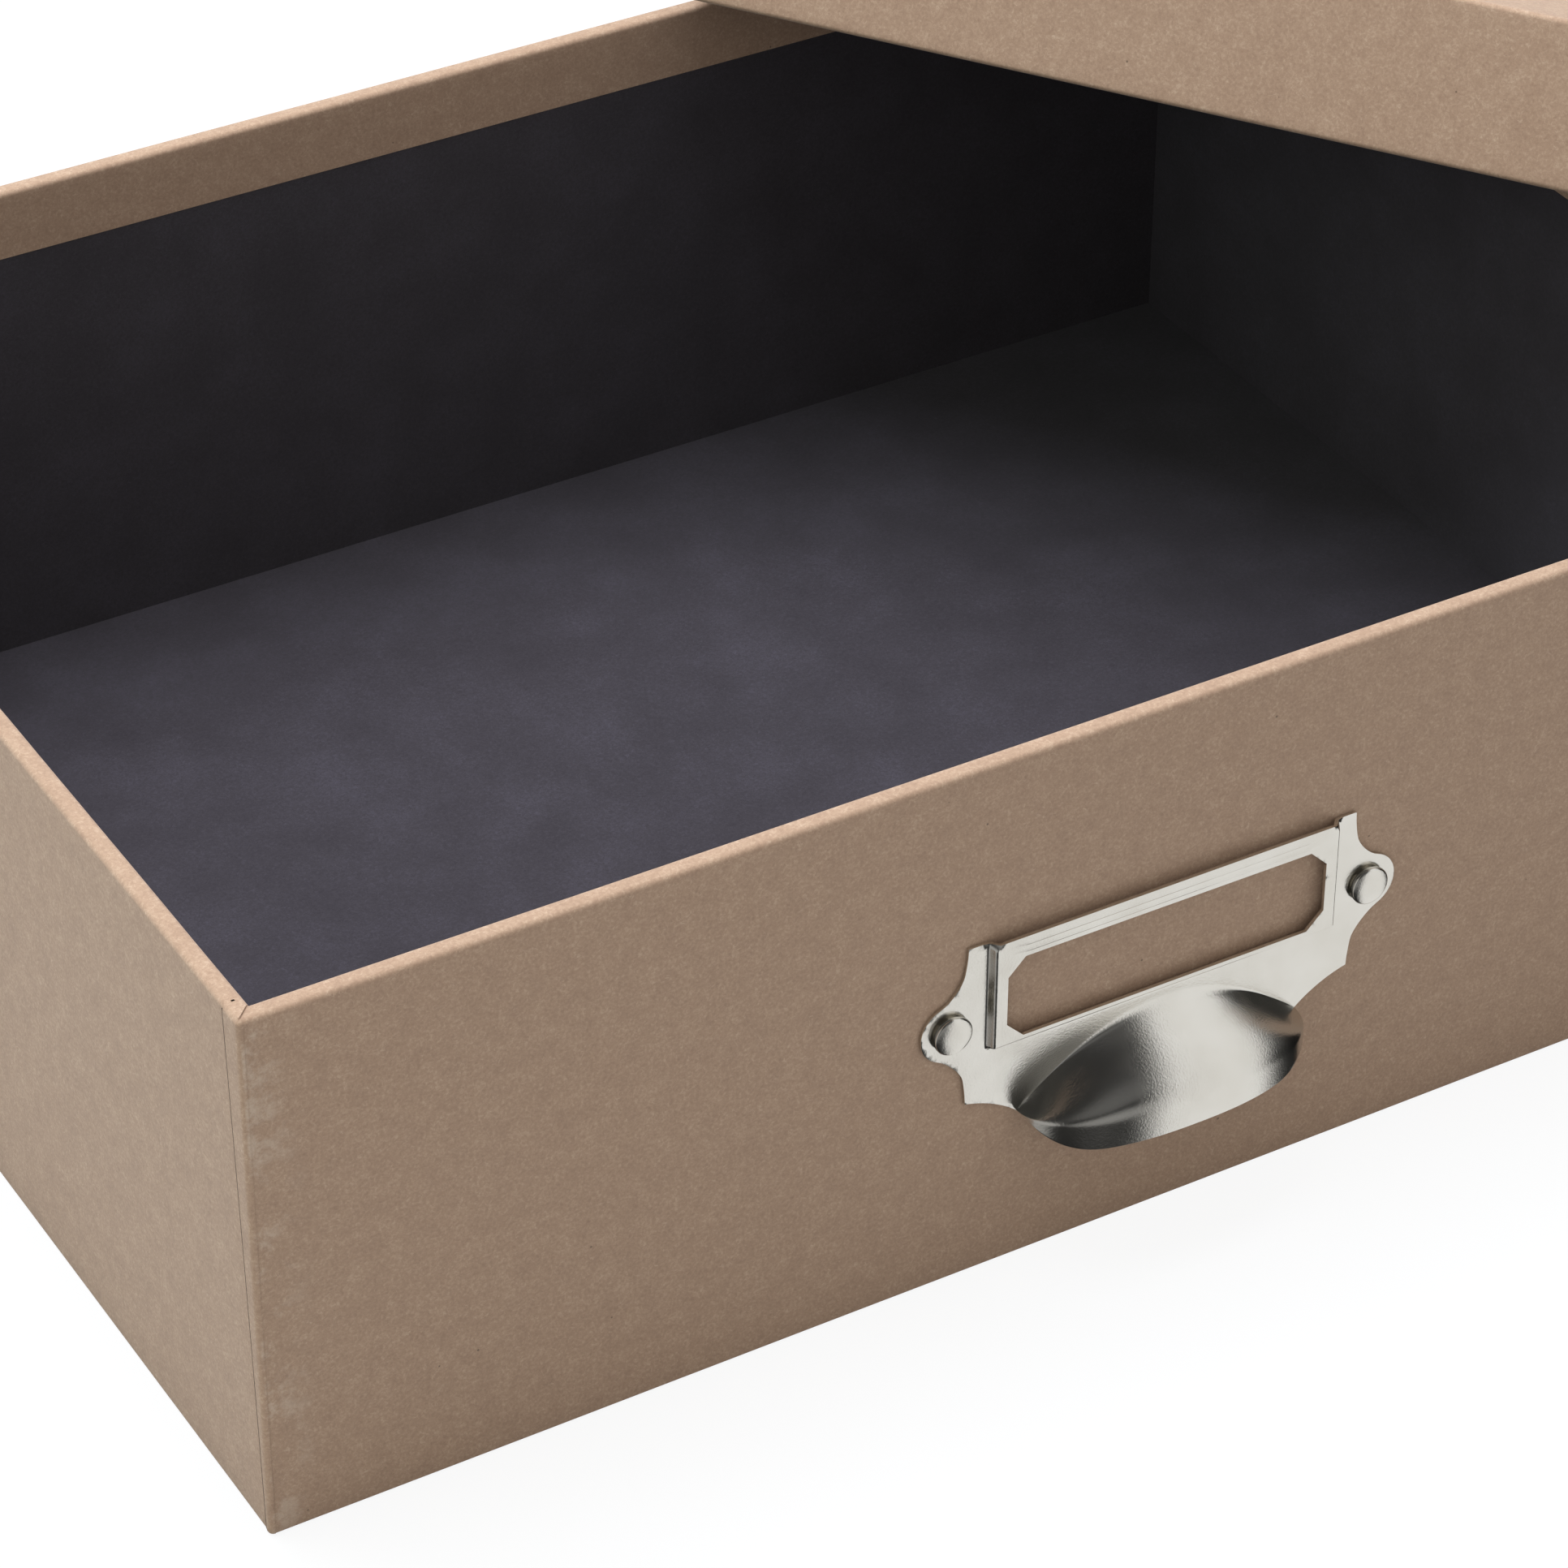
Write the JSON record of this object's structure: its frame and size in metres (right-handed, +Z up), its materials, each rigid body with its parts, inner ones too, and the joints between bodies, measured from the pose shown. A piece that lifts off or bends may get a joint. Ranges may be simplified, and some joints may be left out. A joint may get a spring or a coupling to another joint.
{
  "type": "storage box",
  "caption": "Rigid paper-covered storage box with a pressed metal label-holder cup pull riveted to its long front, and its loose lift-off lid leaning on one back corner.",
  "frame": {"origin": "centre of the box's underside, on the surface it stands on", "axes": "+X along the front from left to right, +Y from the front with the pull to the back, +Z up"},
  "size_m": [0.5803, 0.4081, 0.13],
  "materials": {
    "kraft_paper": "matte, fine fibres and small dark specks",
    "charcoal_paper": "matte, slightly blue charcoal",
    "greyboard": "matte",
    "stay_tape": "matte gummed tape",
    "nickel_plate": "satin to bright nickel plate on pressed sheet"
  },
  "bodies": {
    "box": {"base_board": "greyboard", "front_board": "greyboard", "back_board": "greyboard", "left_board": "greyboard", "right_board": "greyboard", "corner_stays": "stay_tape", "cover_wrap": "kraft_paper", "base_cover": "kraft_paper", "wall_lining": "charcoal_paper", "floor_lining": "charcoal_paper", "pull_plate": "nickel_plate", "rivet_caps": "nickel_plate", "rivet_posts": "nickel_plate"},
    "lid": {"lid_top_board": "greyboard", "lid_near_board": "greyboard", "lid_far_board": "greyboard", "lid_left_board": "greyboard", "lid_right_board": "greyboard", "lid_corner_stays": "stay_tape", "lid_cover_wrap": "kraft_paper", "lid_top_lining": "charcoal_paper", "lid_skirt_lining": "charcoal_paper"}
  },
  "joints": [
    {"name": "lid_lift", "type": "slide", "parent": "box", "child": "lid", "axis": [0, 0, 1], "range_m": [0, 0.15]}
  ]
}
